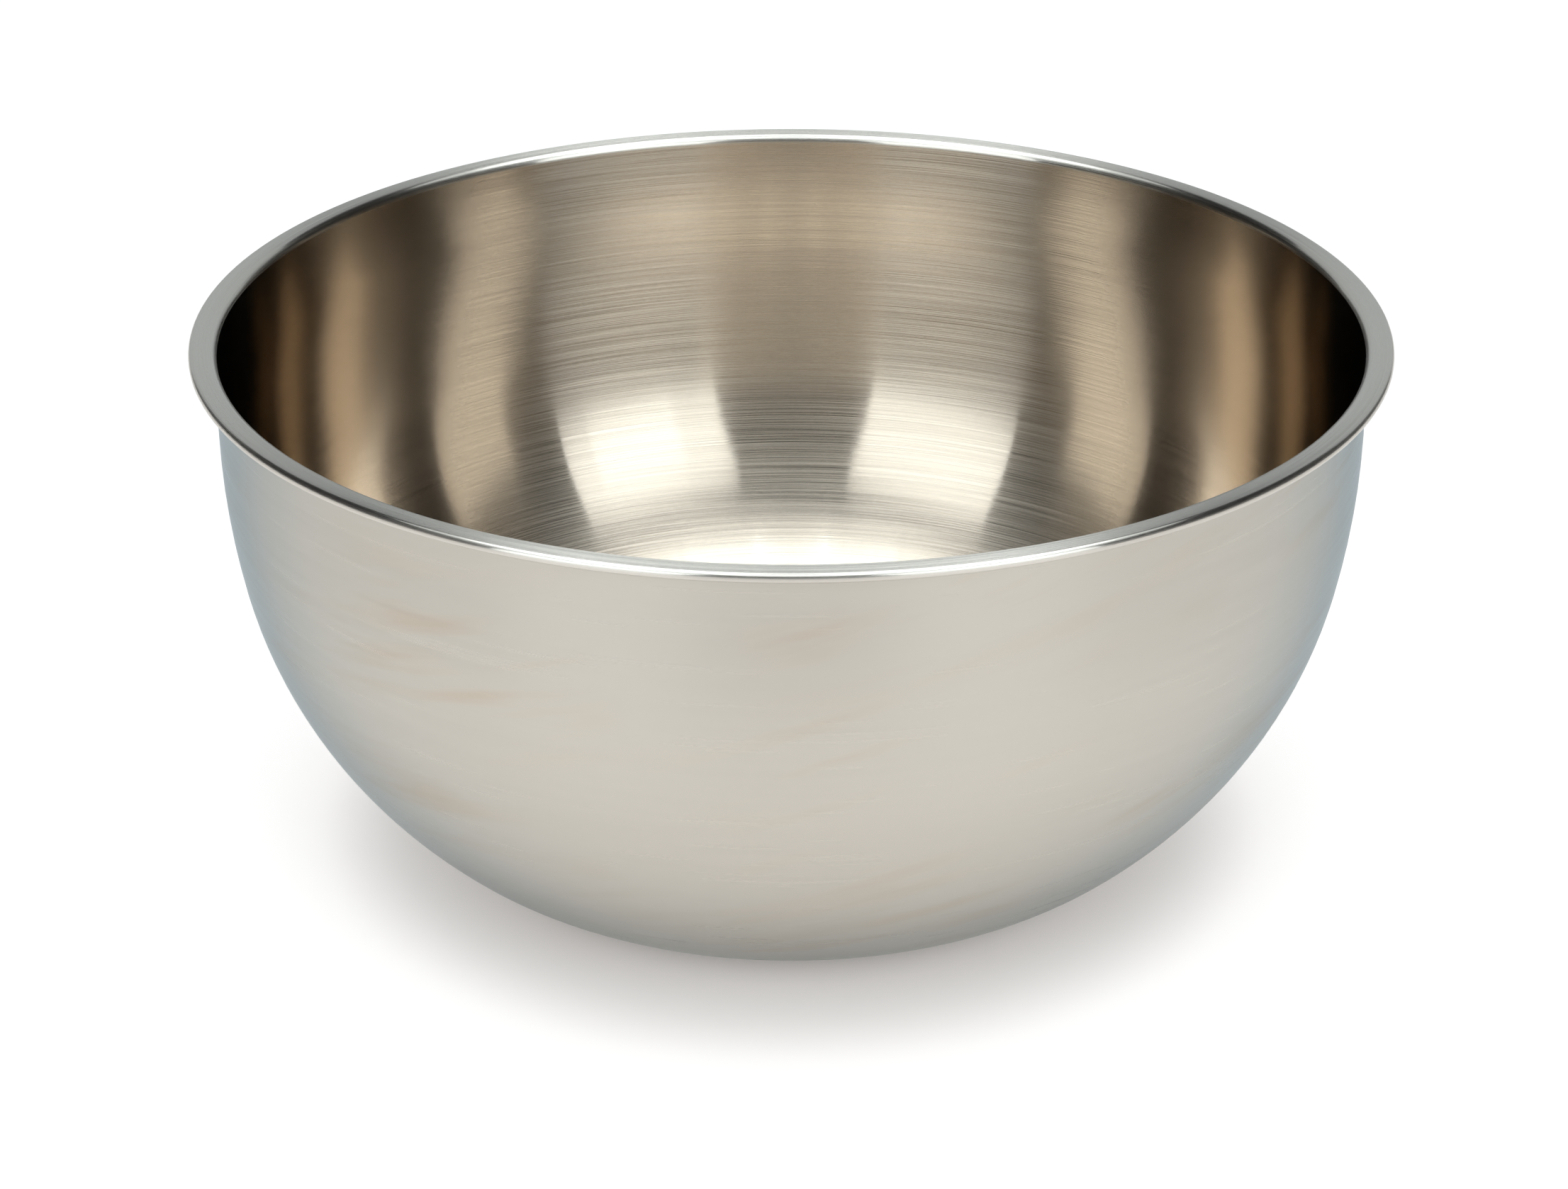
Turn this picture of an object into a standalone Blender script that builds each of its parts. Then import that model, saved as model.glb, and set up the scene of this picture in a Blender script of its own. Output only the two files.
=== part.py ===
"""A round, flat-bottomed mixing bowl of stainless steel.

The bowl is one disc of sheet. It is drawn into a deep bowl, and its edge is turned outwards and
curled under to make the rim. The bowl stands on z = 0 with its centre line on Z. Metres, +Z up.
"""

from math import cos, radians, sin

import bmesh
import bpy

# Driving dimensions
RIM_RADIUS = 0.150
HEIGHT = 0.140
WALL_RADIUS = 0.1438
SHEET = 0.0007

# The wall's outer face, from the flat base up. Each arc is (radius, slope of the wall at its lower
# end, slope at its upper end, steps). Slopes are in degrees from level, and the arcs are tangent.
CORNER_ARC = (0.065, 0.0, 42.0, 6)
SIDE_ARC = (0.117, 42.0, 78.5, 6)
SHOULDER_ARC = (0.190, 78.5, 90.0, 2)
WALL_ARCS = (CORNER_ARC, SIDE_ARC, SHOULDER_ARC)

# The rim: the wall bends out to a level lip, and the lip's edge curls under, back towards the wall
LIP_BEND_RADIUS = 0.0021
LIP_BEND_STEPS = 3
CURL_RADIUS = 0.00125
CURL_STEPS = 6
CURL_GAP = 0.0009

TURN_STEPS = 96

STEEL_COLOUR = (0.62, 0.60, 0.56, 1.0)
STEEL_ROUGHNESS = 0.32


def clear_scene():
    for item in list(bpy.data.objects):
        bpy.data.objects.remove(item, do_unlink=True)


def arc(centre, radius, first, last, steps):
    """Points (radius, height) round a centre, from one angle to another, in degrees."""
    points = []
    for step in range(steps + 1):
        angle = radians(first + (last - first) * step / steps)
        points.append((centre[0] + radius * cos(angle), centre[1] + radius * sin(angle)))
    return points


def base_radius():
    """The flat base is what the wall's arcs leave of the wall's radius."""
    spread = 0.0
    for radius, low, high, _ in WALL_ARCS:
        spread += radius * (sin(radians(high)) - sin(radians(low)))
    return WALL_RADIUS - spread


def wall_face(inset):
    """A face of the wall from the centre line up to the rim, inset from the outer face."""
    points = [(0.0, inset)]
    centre = (base_radius(), 0.0)
    last_radius = 0.0
    for radius, low, high, steps in WALL_ARCS:
        # An arc that goes on from another has its centre on the line that they share.
        shift = last_radius - radius
        slope = radians(low - 90.0)
        centre = (centre[0] + shift * cos(slope), centre[1] + shift * sin(slope))
        turn = arc(centre, radius - inset, low - 90.0, high - 90.0, steps)
        points += turn if last_radius == 0.0 else turn[1:]
        last_radius = radius
    return points


def rim_face(inset):
    """A face of the rim from the wall to the curl's free edge, inset from the face beneath."""
    shrink = SHEET - inset
    lip_centre = (WALL_RADIUS - SHEET + LIP_BEND_RADIUS, HEIGHT - LIP_BEND_RADIUS)
    curl_centre = (RIM_RADIUS - CURL_RADIUS, HEIGHT - CURL_RADIUS)
    curl_radius = CURL_RADIUS - shrink
    lip_bend = arc(lip_centre, LIP_BEND_RADIUS - shrink, 180.0, 90.0, LIP_BEND_STEPS)
    curl = arc(curl_centre, curl_radius, 90.0, -90.0, CURL_STEPS)
    free_edge = (WALL_RADIUS + CURL_GAP, curl_centre[1] - curl_radius)
    return lip_bend + curl + [free_edge]


def bowl_section():
    """The sheet's section: up the inner face to the curl's free edge, and back down the outer."""
    inner = wall_face(SHEET) + rim_face(SHEET)
    outer = wall_face(0.0) + rim_face(0.0)
    return inner + outer[::-1]


def turned_mesh(name, section):
    """A section of (radius, height) points, turned once round Z."""
    build = bmesh.new()
    points = [build.verts.new((radius, 0.0, height)) for radius, height in section]
    edges = [build.edges.new(pair) for pair in zip(points, points[1:])]
    bmesh.ops.spin(
        build,
        geom=points + edges,
        cent=(0.0, 0.0, 0.0),
        axis=(0.0, 0.0, 1.0),
        angle=radians(360.0),
        steps=TURN_STEPS,
        use_merge=True,
    )
    bmesh.ops.remove_doubles(build, verts=build.verts, dist=1e-6)
    bmesh.ops.recalc_face_normals(build, faces=build.faces)
    mesh = bpy.data.meshes.new(name)
    build.to_mesh(mesh)
    build.free()
    return mesh


def steel():
    """Brushed stainless steel."""
    material = bpy.data.materials.new("brushed_steel")
    material.use_nodes = True
    shader = material.node_tree.nodes["Principled BSDF"]
    shader.inputs["Base Color"].default_value = STEEL_COLOUR
    shader.inputs["Metallic"].default_value = 1.0
    shader.inputs["Roughness"].default_value = STEEL_ROUGHNESS
    material.diffuse_color = STEEL_COLOUR
    return material


def make_bowl():
    mesh = turned_mesh("bowl", bowl_section())
    mesh.materials.append(steel())
    mesh.shade_smooth()
    mesh.set_sharp_from_angle(angle=radians(50.0))
    bowl = bpy.data.objects.new("bowl", mesh)
    bpy.context.scene.collection.objects.link(bowl)


clear_scene()
make_bowl()
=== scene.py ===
"""The looks of a round stainless steel mixing bowl: turned sheet, brushed inside, satin outside.

Metres, +Z up, the bowl's centre line on Z and its base on z = 0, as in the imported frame.
"""

from math import cos, pi, radians, sin, tan

import bmesh
import bpy
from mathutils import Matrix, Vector


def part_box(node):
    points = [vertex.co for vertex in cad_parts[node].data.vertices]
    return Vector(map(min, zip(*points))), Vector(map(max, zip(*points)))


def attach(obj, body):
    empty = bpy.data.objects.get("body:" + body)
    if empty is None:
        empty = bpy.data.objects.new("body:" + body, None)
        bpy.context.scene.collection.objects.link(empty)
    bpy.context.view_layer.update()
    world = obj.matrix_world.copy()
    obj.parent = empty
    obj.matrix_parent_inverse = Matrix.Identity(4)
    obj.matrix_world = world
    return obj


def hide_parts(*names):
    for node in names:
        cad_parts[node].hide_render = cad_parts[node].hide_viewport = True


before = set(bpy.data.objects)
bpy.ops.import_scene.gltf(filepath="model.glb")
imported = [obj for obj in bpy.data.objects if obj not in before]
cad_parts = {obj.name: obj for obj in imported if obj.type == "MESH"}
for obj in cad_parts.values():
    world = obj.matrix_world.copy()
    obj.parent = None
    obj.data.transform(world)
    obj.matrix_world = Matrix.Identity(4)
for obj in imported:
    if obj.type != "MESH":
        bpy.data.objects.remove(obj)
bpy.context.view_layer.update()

# ---------------------------------------------------------------------------------------------
# The bowl's sizes. The rim's radius and the height come from the frame, the rest is the sheet's
# own section.
# ---------------------------------------------------------------------------------------------
_, high_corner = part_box("bowl")
RIM_RADIUS = high_corner[0]
HEIGHT = high_corner[2]
WALL_RADIUS = 0.1438
SHEET = 0.0007

# The wall's outer face from the flat base up: (radius, slope at the lower end, at the upper end).
# Slopes are in degrees from level.
WALL_ARCS = ((0.065, 0.0, 42.0), (0.117, 42.0, 78.5), (0.190, 78.5, 90.0))

# The rim: the wall bends out to a lip, which is crowned a little, and its edge curls under
LIP_BEND_RADIUS = 0.0021
CURL_RADIUS = 0.00125
CROWN_SLOPE = 6.0
CURL_GAP = 0.0009

# How finely each arc is stepped, in degrees, and the steps in the turn round Z
WALL_STEP = 2.0
CROWN_STEP = 3.0
RIM_STEP = 9.0
EDGE_STEP = 30.0
TURN_STEPS = 192

MERGE_DISTANCE = 1e-6
SHARP_ANGLE = 50.0


def arc(centre, radius, first, last, step):
    """Points (radius, height) round a centre, from one angle to another, in degrees."""
    count = max(1, round(abs(last - first) / step))
    points = []
    for index in range(count + 1):
        angle = radians(first + (last - first) * index / count)
        points.append((centre[0] + radius * cos(angle), centre[1] + radius * sin(angle)))
    return points


def wall_face(inset):
    """A face of the wall from the edge of the flat base to the top, inset from the outer face."""
    spread = 0.0
    for radius, low, high in WALL_ARCS:
        spread += radius * (sin(radians(high)) - sin(radians(low)))
    centre = (WALL_RADIUS - spread, 0.0)
    points = []
    last_radius = 0.0
    for radius, low, high in WALL_ARCS:
        # An arc that goes on from another has its centre on the line that they share.
        shift = last_radius - radius
        slope = radians(low - 90.0)
        centre = (centre[0] + shift * cos(slope), centre[1] + shift * sin(slope))
        turn = arc(centre, radius - inset, low - 90.0, high - 90.0, WALL_STEP)
        points += turn[1:] if points else turn
        last_radius = radius
    return points


def crown_sizes():
    """The lip's crown, an arc that meets the bend and the curl: its radius and its middle."""
    low_side = WALL_RADIUS - SHEET + LIP_BEND_RADIUS
    high_side = RIM_RADIUS - CURL_RADIUS
    lean = sin(radians(CROWN_SLOPE))
    radius = (high_side - low_side) / (2 * lean) + (LIP_BEND_RADIUS + CURL_RADIUS) / 2
    middle = low_side + (radius - LIP_BEND_RADIUS) * lean
    return radius, middle


def rim_face(inset):
    """A face of the rim, inset from the face beneath: the bend, the lip, the curl and its return."""
    shrink = SHEET - inset
    crown_radius, crown_middle = crown_sizes()
    drop = cos(radians(CROWN_SLOPE))
    crown_height = HEIGHT - crown_radius
    bend_centre = (
        WALL_RADIUS - SHEET + LIP_BEND_RADIUS,
        crown_height + (crown_radius - LIP_BEND_RADIUS) * drop,
    )
    curl_centre = (RIM_RADIUS - CURL_RADIUS, crown_height + (crown_radius - CURL_RADIUS) * drop)
    first, last = 90.0 + CROWN_SLOPE, 90.0 - CROWN_SLOPE
    curl_radius = CURL_RADIUS - shrink
    bend = arc(bend_centre, LIP_BEND_RADIUS - shrink, 180.0, first, RIM_STEP)
    crown = arc((crown_middle, crown_height), crown_radius - shrink, first, last, CROWN_STEP)
    curl = arc(curl_centre, curl_radius, last, -90.0, RIM_STEP)
    return_end = (WALL_RADIUS + CURL_GAP + SHEET / 2, curl_centre[1] - curl_radius)
    return bend + crown[1:] + curl[1:] + [return_end]


def section_runs():
    """The section as runs of points, in the order of the finishes: inside, rim, outside, base."""
    inner, outer = wall_face(SHEET), wall_face(0.0)
    top, under = rim_face(SHEET), rim_face(0.0)
    edge_centre = (under[-1][0], (under[-1][1] + top[-1][1]) / 2)
    free_edge = arc(edge_centre, SHEET / 2, -90.0, -270.0, EDGE_STEP)
    return (
        [(0.0, SHEET)] + inner + top[:1],
        top[1:] + free_edge[1:-1] + under[::-1],
        outer[::-1],
        [(0.0, 0.0)],
    )


def bowl_mesh():
    """The whole sheet as one closed, turned shell, with its distance along the section kept."""
    build = bmesh.new()
    along = build.verts.layers.float.new("along")
    points = []
    ends = []
    distance = 0.0
    for run in section_runs():
        for radius, height in run:
            point = build.verts.new((radius, 0.0, height))
            if points:
                distance += (point.co - points[-1].co).length
            point[along] = distance
            points.append(point)
        ends.append(distance)
    edges = [build.edges.new(pair) for pair in zip(points, points[1:])]
    bmesh.ops.spin(
        build,
        geom=points + edges,
        cent=(0.0, 0.0, 0.0),
        axis=(0.0, 0.0, 1.0),
        angle=radians(360.0),
        steps=TURN_STEPS,
        use_merge=True,
    )
    # A face's finish is the number of runs that end before its middle.
    for face in build.faces:
        middle = sum(corner[along] for corner in face.verts) / len(face.verts)
        face.material_index = sum(middle > end for end in ends)
    bmesh.ops.remove_doubles(build, verts=build.verts, dist=MERGE_DISTANCE)
    bmesh.ops.recalc_face_normals(build, faces=build.faces)
    mesh = bpy.data.meshes.new("bowl_shell")
    build.to_mesh(mesh)
    build.free()
    mesh.shade_smooth()
    mesh.set_sharp_from_angle(angle=radians(SHARP_ANGLE))
    return mesh


# ---------------------------------------------------------------------------------------------
# Finishes
# ---------------------------------------------------------------------------------------------
STEEL_INSIDE = (0.64, 0.555, 0.46, 1.0)
STEEL_RIM = (0.66, 0.615, 0.555, 1.0)
STEEL_OUTSIDE = (0.555, 0.515, 0.455, 1.0)

# A tint on the steel's reflection near a grazing angle
INSIDE_EDGE_TINT = (0.14, 0.14, 0.14, 1.0)
OUTSIDE_EDGE_TINT = (0.48, 0.57, 0.64, 1.0)

# How one-way a fully brushed finish spreads a reflection, and the part of a full turn that lays
# the spread across the lines, up and down the wall
FULLY_BRUSHED = 1.0
ACROSS_THE_LINES = 0.25

# How many layers of finer noise lie over the first
PLAIN = 1.0
RAGGED = 3.0

# Parts of the noise's range that are spread over a finish's own. A narrow one leaves nearly
# only the two ends of it.
NARROW = (0.48, 0.52)
MIDDLE = (0.3, 0.7)
WIDE = (0.25, 0.75)

# A Mix node's sockets for two colours, and for the one that comes out
FIRST_COLOUR = 6
SECOND_COLOUR = 7
MIXED_COLOUR = 2


class Finish:
    """One finish, and short ways to add and link its nodes."""

    def __init__(self, name, colour, metallic=1.0):
        self.material = bpy.data.materials.new(name)
        self.material.use_nodes = True
        self.tree = self.material.node_tree
        self.shader = self.tree.nodes["Principled BSDF"]
        self.shader.inputs["Base Color"].default_value = colour
        self.shader.inputs["Metallic"].default_value = metallic

    def add(self, kind, **settings):
        node = self.tree.nodes.new(kind)
        for name, value in settings.items():
            setattr(node, name, value)
        return node

    def link(self, source, target):
        self.tree.links.new(source, target)

    def fill(self, sockets, values):
        """Sets each socket to its number or vector, or links another node's output to it."""
        for socket, value in zip(sockets, values):
            if isinstance(value, (float, tuple)):
                socket.default_value = value
            else:
                self.link(value, socket)

    def math(self, operation, first, second):
        node = self.add("ShaderNodeMath", operation=operation)
        self.fill(node.inputs, (first, second))
        return node.outputs[0]

    def vector(self, operation, *values):
        node = self.add("ShaderNodeVectorMath", operation=operation)
        self.fill(node.inputs, values)
        return node.outputs[0]

    def spread(self, value, old_range, new_low, new_high):
        """Takes a value from one range to another, and holds it there."""
        node = self.add("ShaderNodeMapRange")
        self.link(value, node.inputs["Value"])
        node.inputs["From Min"].default_value = old_range[0]
        node.inputs["From Max"].default_value = old_range[1]
        node.inputs["To Min"].default_value = new_low
        node.inputs["To Max"].default_value = new_high
        return node.outputs["Result"]

    def outward(self):
        """The level direction away from the centre line."""
        place = self.add("ShaderNodeTexCoord").outputs["Object"]
        return self.vector("NORMALIZE", self.vector("MULTIPLY", place, (1.0, 1.0, 0.0)))

    def lines(self, per_metre, round_turn, detail, rise=0.0):
        """Noise drawn out into lines round the bowl, with so many a metre along the section."""
        split = self.add("ShaderNodeSeparateXYZ")
        self.link(self.outward(), split.inputs[0])
        along = self.add("ShaderNodeAttribute", attribute_name="along")
        level = self.math("MULTIPLY", along.outputs["Fac"], per_metre)
        leaning = self.math("MULTIPLY", split.outputs["X"], rise)
        join = self.add("ShaderNodeCombineXYZ")
        self.link(self.math("MULTIPLY", split.outputs["X"], round_turn), join.inputs["X"])
        self.link(self.math("MULTIPLY", split.outputs["Y"], round_turn), join.inputs["Y"])
        self.link(self.math("ADD", level, leaning), join.inputs["Z"])
        noise = self.add("ShaderNodeTexNoise")
        noise.inputs["Scale"].default_value = 1.0
        noise.inputs["Detail"].default_value = detail
        self.link(join.outputs[0], noise.inputs["Vector"])
        return noise.outputs["Fac"]

    def tilt(self, amount):
        """Leans the surface up or down the wall, as the two sides of a scratch round it do."""
        round_bowl = self.vector("CROSS_PRODUCT", (0.0, 0.0, 1.0), self.outward())
        normal = self.add("ShaderNodeNewGeometry").outputs["Normal"]
        up_wall = self.vector("CROSS_PRODUCT", round_bowl, normal)
        lean = self.add("ShaderNodeVectorMath", operation="SCALE")
        self.link(up_wall, lean.inputs[0])
        self.link(amount, lean.inputs["Scale"])
        leaning = self.vector("ADD", normal, lean.outputs[0])
        self.link(self.vector("NORMALIZE", leaning), self.shader.inputs["Normal"])

    def brush(self, anisotropy):
        """Lines round the bowl spread a reflection up and down, and hardly at all sideways."""
        self.shader.inputs["Anisotropic"].default_value = anisotropy
        self.shader.inputs["Anisotropic Rotation"].default_value = ACROSS_THE_LINES
        tangent = self.add("ShaderNodeTangent", direction_type="RADIAL", axis="Z")
        self.link(tangent.outputs[0], self.shader.inputs["Tangent"])


# Hairs are the finest lines, shared by the inside and the rim. Turns are the noise's scale round
# the bowl, so fewer of them make longer lines.
HAIRS_PER_METRE = 60000.0
HAIR_TURNS = 1.5

# The inside's roughness goes from sharp to hazy, and its scratches and streaks lean the surface
INSIDE_SHARP = 0.10
INSIDE_HAZY = 0.33
INSIDE_LEAN = 0.10
SCRATCHES_PER_METRE = 47000.0
STREAKS_PER_METRE = 1300.0
STREAK_TURNS = 0.4
STREAK_ROUGH = 0.008
STREAK_LEAN = 0.005

# How edge-on the inside is seen, from where its haze is full to where it is gone
HAZE_RANGE = (0.06, 0.60)


def brushed_inside():
    """Fine brush lines round the inside: hazy seen square on, and near a mirror along the wall."""
    steel = Finish("steel_brushed_inside", STEEL_INSIDE)
    steel.shader.inputs["Specular Tint"].default_value = INSIDE_EDGE_TINT
    steel.brush(FULLY_BRUSHED)
    facing = steel.add("ShaderNodeLayerWeight").outputs["Facing"]
    haze = steel.spread(facing, HAZE_RANGE, 1.0, 0.0)
    hair = steel.lines(HAIRS_PER_METRE, HAIR_TURNS, PLAIN)
    streaks = steel.lines(STREAKS_PER_METRE, STREAK_TURNS, RAGGED)
    gain = steel.spread(hair, NARROW, 0.0, INSIDE_HAZY - INSIDE_SHARP)
    swing = steel.spread(streaks, MIDDLE, -STREAK_ROUGH, STREAK_ROUGH)
    rough = steel.math("MULTIPLY", steel.math("ADD", gain, swing), haze)
    steel.link(steel.math("ADD", rough, INSIDE_SHARP), steel.shader.inputs["Roughness"])
    scratch = steel.lines(SCRATCHES_PER_METRE, HAIR_TURNS, PLAIN)
    lean = steel.spread(scratch, WIDE, -INSIDE_LEAN / 2, INSIDE_LEAN / 2)
    sway = steel.spread(streaks, MIDDLE, -STREAK_LEAN, STREAK_LEAN)
    steel.tilt(steel.math("MULTIPLY", steel.math("ADD", lean, sway), haze))
    return steel.material


RIM_SHARP = 0.16
RIM_HAZY = 0.36


def polished_rim():
    """Brighter than the rest, with the same fine hairs round it."""
    steel = Finish("steel_polished_rim", STEEL_RIM)
    steel.brush(FULLY_BRUSHED)
    hair = steel.lines(HAIRS_PER_METRE, HAIR_TURNS, PLAIN)
    steel.link(steel.spread(hair, NARROW, RIM_SHARP, RIM_HAZY), steel.shader.inputs["Roughness"])
    return steel.material


OUTSIDE_ROUGH = 0.30
OUTSIDE_ROUGH_SWING = 0.03
OUTSIDE_ANISOTROPY = 0.8
OUTSIDE_LEAN = 0.012
OUTSIDE_LINES_PER_METRE = 900.0
OUTSIDE_LINE_TURNS = 2.5

# Faint marks that a damp cloth leaves: long, near level, in patches, and a little warmer
WIPE_COLOUR = (0.535, 0.465, 0.385, 1.0)
WIPES_PER_METRE = 120.0
WIPE_TURNS = 2.2
WIPE_RISE = 5.0
WIPE_RANGE = (0.50, 0.68)
PATCHES_PER_METRE = 24.0
PATCH_TURNS = 2.4
PATCH_RANGE = (0.40, 0.62)


def satin(name):
    """An even satin, with fine lines round it and faint wipe marks."""
    steel = Finish(name, STEEL_OUTSIDE)
    steel.shader.inputs["Specular Tint"].default_value = OUTSIDE_EDGE_TINT
    steel.brush(OUTSIDE_ANISOTROPY)
    grain = steel.lines(OUTSIDE_LINES_PER_METRE, OUTSIDE_LINE_TURNS, RAGGED)
    least, most = OUTSIDE_ROUGH - OUTSIDE_ROUGH_SWING, OUTSIDE_ROUGH + OUTSIDE_ROUGH_SWING
    steel.link(steel.spread(grain, MIDDLE, least, most), steel.shader.inputs["Roughness"])
    steel.tilt(steel.spread(grain, MIDDLE, -OUTSIDE_LEAN, OUTSIDE_LEAN))
    wipes = steel.lines(WIPES_PER_METRE, WIPE_TURNS, RAGGED, WIPE_RISE)
    patches = steel.lines(PATCHES_PER_METRE, PATCH_TURNS, PLAIN)
    wiped = steel.spread(wipes, WIPE_RANGE, 0.0, 1.0)
    patchy = steel.spread(patches, PATCH_RANGE, 0.0, 1.0)
    film = steel.add("ShaderNodeMix", data_type="RGBA")
    steel.link(steel.math("MULTIPLY", wiped, patchy), film.inputs["Factor"])
    film.inputs[FIRST_COLOUR].default_value = STEEL_OUTSIDE
    film.inputs[SECOND_COLOUR].default_value = WIPE_COLOUR
    steel.link(film.outputs[MIXED_COLOUR], steel.shader.inputs["Base Color"])
    return steel.material


def make_bowl():
    """The shell, with its finishes in the order of the section's runs."""
    mesh = bowl_mesh()
    mesh.materials.append(brushed_inside())
    mesh.materials.append(polished_rim())
    mesh.materials.append(satin("steel_satin_outside"))
    mesh.materials.append(satin("steel_satin_base"))
    shell = bpy.data.objects.new("bowl_shell", mesh)
    bpy.context.scene.collection.objects.link(shell)
    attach(shell, "root")
    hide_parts("bowl")


# ---------------------------------------------------------------------------------------------
# Stage: floor, lights and camera
# ---------------------------------------------------------------------------------------------
FLOOR_RADIUS = 6.0
FLOOR_STEPS = 96
FLOOR_COLOUR = (0.73, 0.685, 0.665, 1.0)
FLOOR_ROUGH = 0.9

# The floor's glow is painted light, by distance from the bowl's centre line: it rises over the
# first range and ebbs to a part of itself over the second. Close round the bowl, where it is
# still low, the shade is partly the lamps' shadow and partly painted.
GLOW_COLOUR = (1.0, 1.0, 1.0, 1.0)
GLOW_STRENGTH = 0.47
GLOW_RISE = (0.067, 0.125)
GLOW_CURVE = 0.6
GLOW_EBB = (0.14, 0.28)
GLOW_LEFT = 0.58

# The camera looks down at the bowl's centre line, at AIM_HEIGHT, from in front of the bowl.
CAMERA_DISTANCE = 0.975
CAMERA_PITCH = 25.64
CAMERA_LENS = 86.13
CAMERA_SENSOR = 36.0
CAMERA_SHIFT = -0.00466
CAMERA_CLIP = 0.01
AIM_HEIGHT = 0.0633

# Each light: name, bearing and elevation in degrees as seen from the middle of the bowl's mouth,
# distance, spread across and up in degrees, radiance, colour. Bearing 0 is straight behind the
# bowl, 90 to its right and 180 at the camera's side.
COOL = (0.88, 0.96, 1.0)
STRAIGHT_UP = 90.0
LIGHTS = (
    ("overhead", 0.0, STRAIGHT_UP, 3.0, 76.0, 76.0, 1.30, COOL),
    ("softbox_right", 143.0, 23.0, 4.0, 37.0, 38.0, 2.3, COOL),
    ("softbox_right_middle", 141.0, 25.0, 4.1, 20.0, 18.0, 0.6, COOL),
    ("softbox_left", -143.5, 23.0, 4.0, 34.0, 38.0, 2.4, COOL),
    ("backdrop", 0.0, 20.0, 4.5, 74.0, 36.0, 0.60, COOL),
)

# A ring of lights high over the bowl, so that straight up can stay dimmer than round it. Its
# settings are as above, from the elevation on.
RING_COUNT = 12
RING_LIGHT = (67.0, 3.2, 14.5, 15.0, 2.5, COOL)

# The room that the steel reflects is nearly dark, and the one behind the bowl is pale.
AMBIENT = (0.010, 0.011, 0.012, 1.0)
PALE = (0.62, 0.63, 0.64, 1.0)


def place_light(name, bearing, elevation, distance, across, up, radiance, colour):
    light = bpy.data.lights.new(name, "AREA")
    light.shape = "ELLIPSE" if elevation == STRAIGHT_UP else "RECTANGLE"
    light.size = 2 * distance * tan(radians(across / 2))
    light.size_y = 2 * distance * tan(radians(up / 2))
    area = light.size * light.size_y
    if light.shape == "ELLIPSE":
        area *= pi / 4
    light.energy = radiance * area * pi
    light.color = colour
    lamp = bpy.data.objects.new(name, light)
    level = cos(radians(elevation))
    towards = Vector(
        (level * sin(radians(bearing)), level * cos(radians(bearing)), sin(radians(elevation)))
    )
    lamp.location = towards * distance + Vector((0.0, 0.0, HEIGHT))
    lamp.rotation_euler = towards.to_track_quat("Z", "Y").to_euler()
    lamp.visible_camera = False
    bpy.context.scene.collection.objects.link(lamp)


def place_lights():
    for settings in LIGHTS:
        place_light(*settings)
    for index in range(RING_COUNT):
        place_light("ring_%d" % index, 360.0 * index / RING_COUNT, *RING_LIGHT)


def make_floor():
    """A pale floor with a painted glow away from the bowl, so it fades to white there and shade
    stays close by.
    """
    build = bmesh.new()
    bmesh.ops.create_circle(build, cap_ends=True, segments=FLOOR_STEPS, radius=FLOOR_RADIUS)
    mesh = bpy.data.meshes.new("floor")
    build.to_mesh(mesh)
    build.free()
    pale = Finish("pale_floor", FLOOR_COLOUR, metallic=0.0)
    pale.shader.inputs["Roughness"].default_value = FLOOR_ROUGH
    pale.shader.inputs["Specular IOR Level"].default_value = 0.0
    pale.shader.inputs["Emission Color"].default_value = GLOW_COLOUR
    place = pale.add("ShaderNodeTexCoord")
    far = pale.add("ShaderNodeVectorMath", operation="LENGTH")
    pale.link(place.outputs["Object"], far.inputs[0])
    # Painted light: the glow rises with distance from the bowl, so the shade close round it is
    # partly painted.
    ramp = pale.spread(far.outputs["Value"], GLOW_RISE, 0.0, 1.0)
    rise = pale.math("MULTIPLY", pale.math("POWER", ramp, GLOW_CURVE), GLOW_STRENGTH)
    ebb = pale.spread(far.outputs["Value"], GLOW_EBB, 1.0, GLOW_LEFT)
    pale.link(pale.math("MULTIPLY", rise, ebb), pale.shader.inputs["Emission Strength"])
    mesh.materials.append(pale.material)
    floor = bpy.data.objects.new("floor", mesh)
    bpy.context.scene.collection.objects.link(floor)


def make_world():
    """Pale where the camera sees it, and nearly dark where the steel does."""
    world = bpy.data.worlds.new("studio")
    world.use_nodes = True
    tree = world.node_tree
    background = tree.nodes["Background"]
    path = tree.nodes.new("ShaderNodeLightPath")
    choice = tree.nodes.new("ShaderNodeMix")
    choice.data_type = "RGBA"
    choice.inputs[FIRST_COLOUR].default_value = AMBIENT
    choice.inputs[SECOND_COLOUR].default_value = PALE
    tree.links.new(path.outputs["Is Camera Ray"], choice.inputs["Factor"])
    tree.links.new(choice.outputs[MIXED_COLOUR], background.inputs["Color"])
    background.inputs["Strength"].default_value = 1.0
    bpy.context.scene.world = world


def make_camera():
    camera = bpy.data.cameras.new("camera")
    camera.lens = CAMERA_LENS
    camera.sensor_width = CAMERA_SENSOR
    camera.shift_x = CAMERA_SHIFT
    camera.clip_start = CAMERA_CLIP
    eye = bpy.data.objects.new("camera", camera)
    pitch = radians(CAMERA_PITCH)
    eye.location = (
        0.0,
        -CAMERA_DISTANCE * cos(pitch),
        AIM_HEIGHT + CAMERA_DISTANCE * sin(pitch),
    )
    eye.rotation_euler = (radians(90.0) - pitch, 0.0, 0.0)
    bpy.context.scene.collection.objects.link(eye)
    bpy.context.scene.camera = eye


make_bowl()
make_floor()
make_world()
make_camera()
place_lights()
bpy.context.scene.view_settings.view_transform = "Standard"
